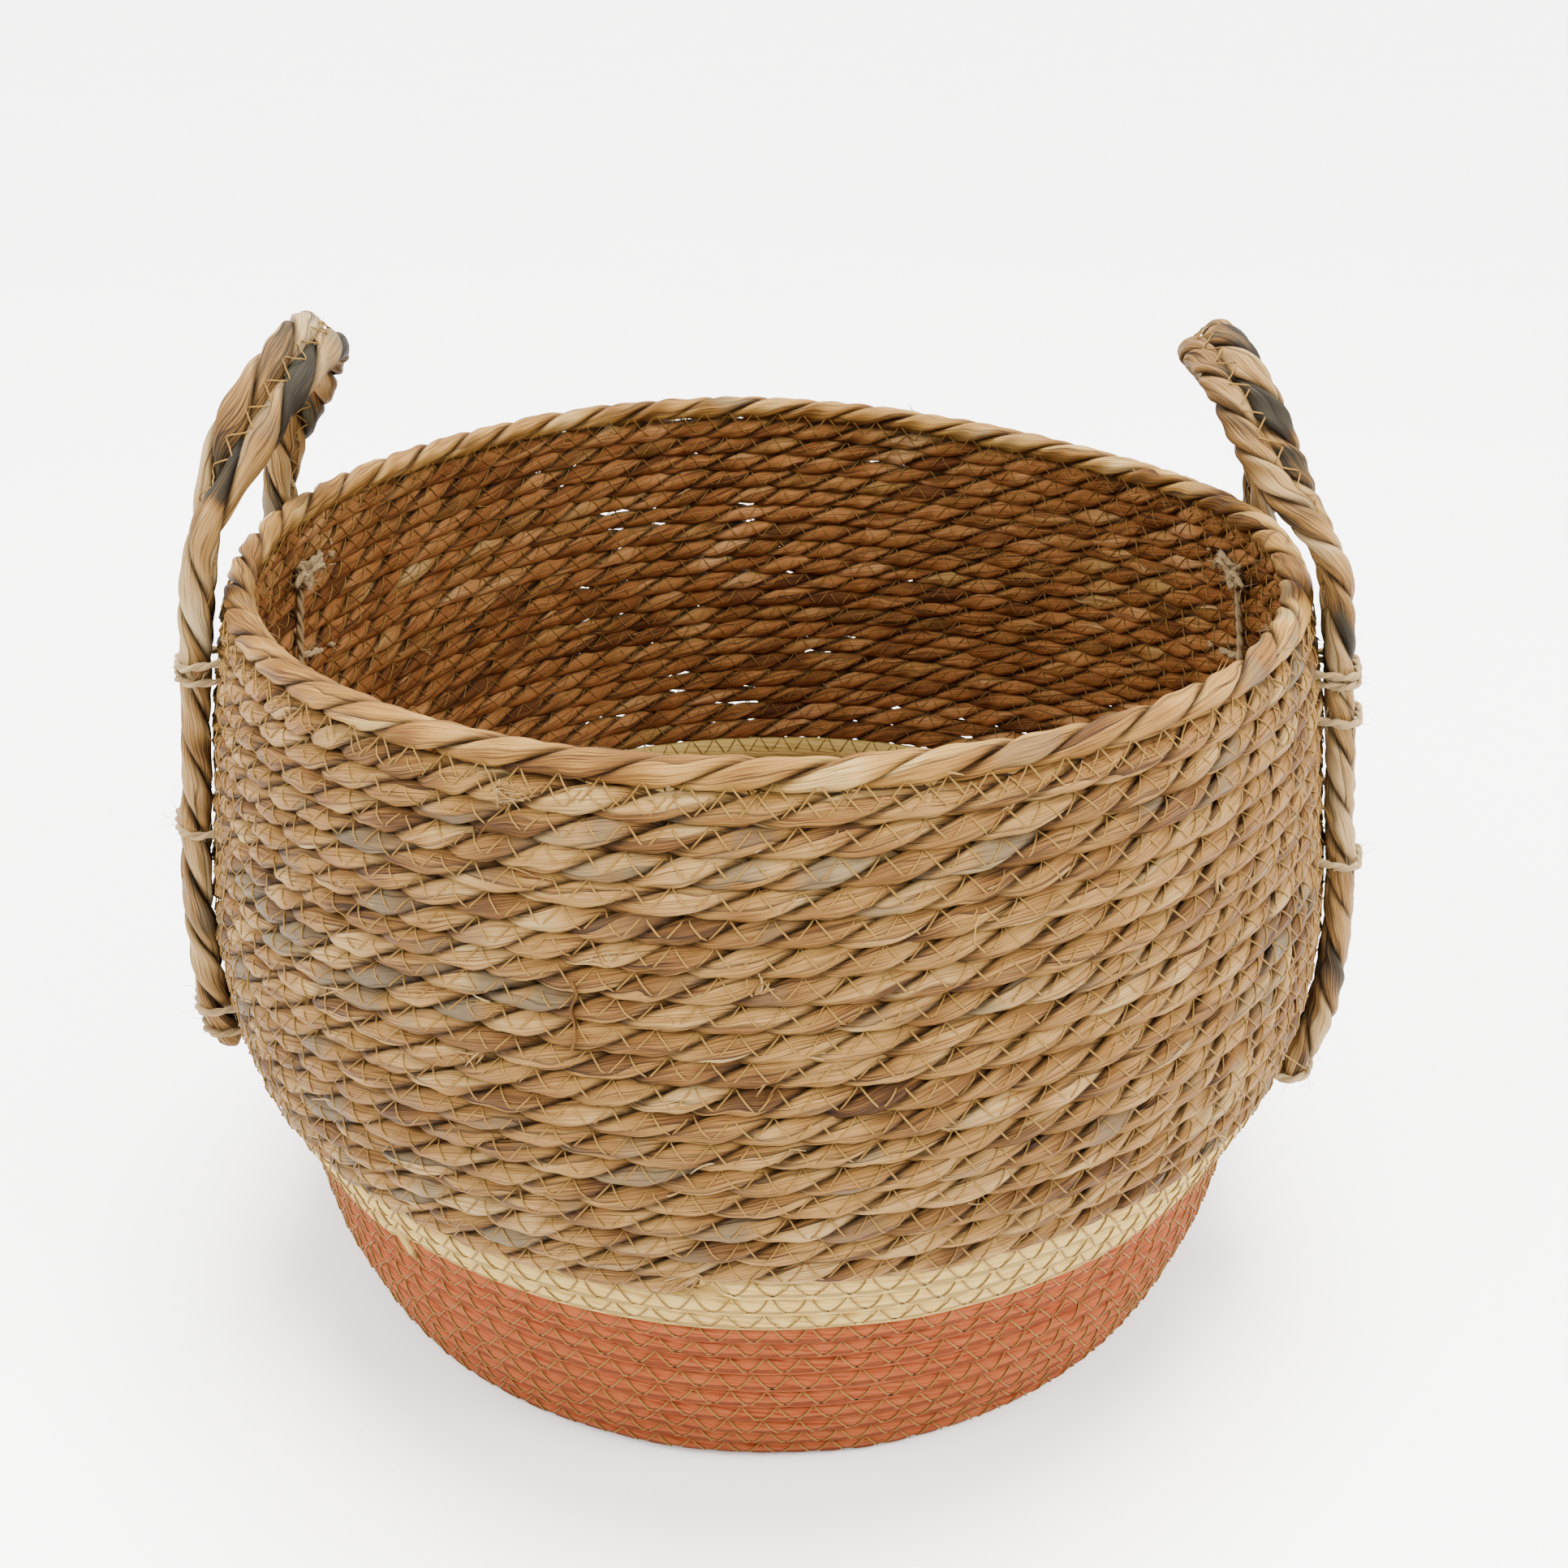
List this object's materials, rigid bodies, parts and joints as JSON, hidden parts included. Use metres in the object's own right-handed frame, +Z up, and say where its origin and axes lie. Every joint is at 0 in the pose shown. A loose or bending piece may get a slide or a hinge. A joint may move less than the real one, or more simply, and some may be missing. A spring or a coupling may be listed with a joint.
{
  "type": "storage basket",
  "caption": "Round coiled and stitched rope basket with a bellied wall, banded base, twisted rim and rope strap handles that flex at the rim.",
  "frame": {"origin": "middle of the underside, on the surface that the basket stands on", "axes": "+Z up through the mouth; +X towards the right handle, along the line through both handles; -Y is the front"},
  "size_m": [0.391, 0.3788, 0.3185],
  "materials": {
    "coral_paper_rope": "matt dyed paper rope, coiled and zigzag stitched",
    "cream_paper_rope": "matt paper rope, coiled and zigzag stitched",
    "seagrass_rope": "two-ply twisted dried leaf rope, satin, zigzag stitched",
    "rim_seagrass_rope": "thicker two-ply twisted leaf rope, satin",
    "handle_rope": "broad-leaf two-ply rope, satin, with some dark leaves",
    "jute_twine": "fuzzy matt twine"
  },
  "bodies": {
    "basket": {"floor_coil": "coral_paper_rope", "coral_wall_coil": "coral_paper_rope", "cream_wall_coil": "cream_paper_rope", "seagrass_wall_coil": "seagrass_rope", "rim_rope": "rim_seagrass_rope", "left_front_leg_rope_1": "handle_rope", "left_front_leg_rope_2": "handle_rope", "left_back_leg_rope_1": "handle_rope", "left_back_leg_rope_2": "handle_rope", "right_front_leg_rope_1": "handle_rope", "right_front_leg_rope_2": "handle_rope", "right_back_leg_rope_1": "handle_rope", "right_back_leg_rope_2": "handle_rope", "left_front_tie_1": "jute_twine", "left_front_tie_2": "jute_twine", "left_front_tie_3": "jute_twine", "left_front_tie_4": "jute_twine", "left_front_tie_run": "jute_twine", "left_back_tie_1": "jute_twine", "left_back_tie_2": "jute_twine", "left_back_tie_3": "jute_twine", "left_back_tie_4": "jute_twine", "left_back_tie_run": "jute_twine", "right_front_tie_1": "jute_twine", "right_front_tie_2": "jute_twine", "right_front_tie_3": "jute_twine", "right_front_tie_4": "jute_twine", "right_front_tie_run": "jute_twine", "right_back_tie_1": "jute_twine", "right_back_tie_2": "jute_twine", "right_back_tie_3": "jute_twine", "right_back_tie_4": "jute_twine", "right_back_tie_run": "jute_twine"},
    "left_loop": {"left_loop_rope_1": "handle_rope", "left_loop_rope_2": "handle_rope"},
    "right_loop": {"right_loop_rope_1": "handle_rope", "right_loop_rope_2": "handle_rope"}
  },
  "joints": [
    {"name": "left_loop_flex", "type": "hinge", "parent": "basket", "child": "left_loop", "pos_m": [-0.17326, 0, 0.254], "axis": [0, 1, 0], "range_deg": [-55, 35], "stiffness_Nm_per_rad": 0.25},
    {"name": "right_loop_flex", "type": "hinge", "parent": "basket", "child": "right_loop", "pos_m": [0.17326, 0, 0.254], "axis": [0, -1, 0], "range_deg": [-55, 35], "stiffness_Nm_per_rad": 0.25}
  ]
}
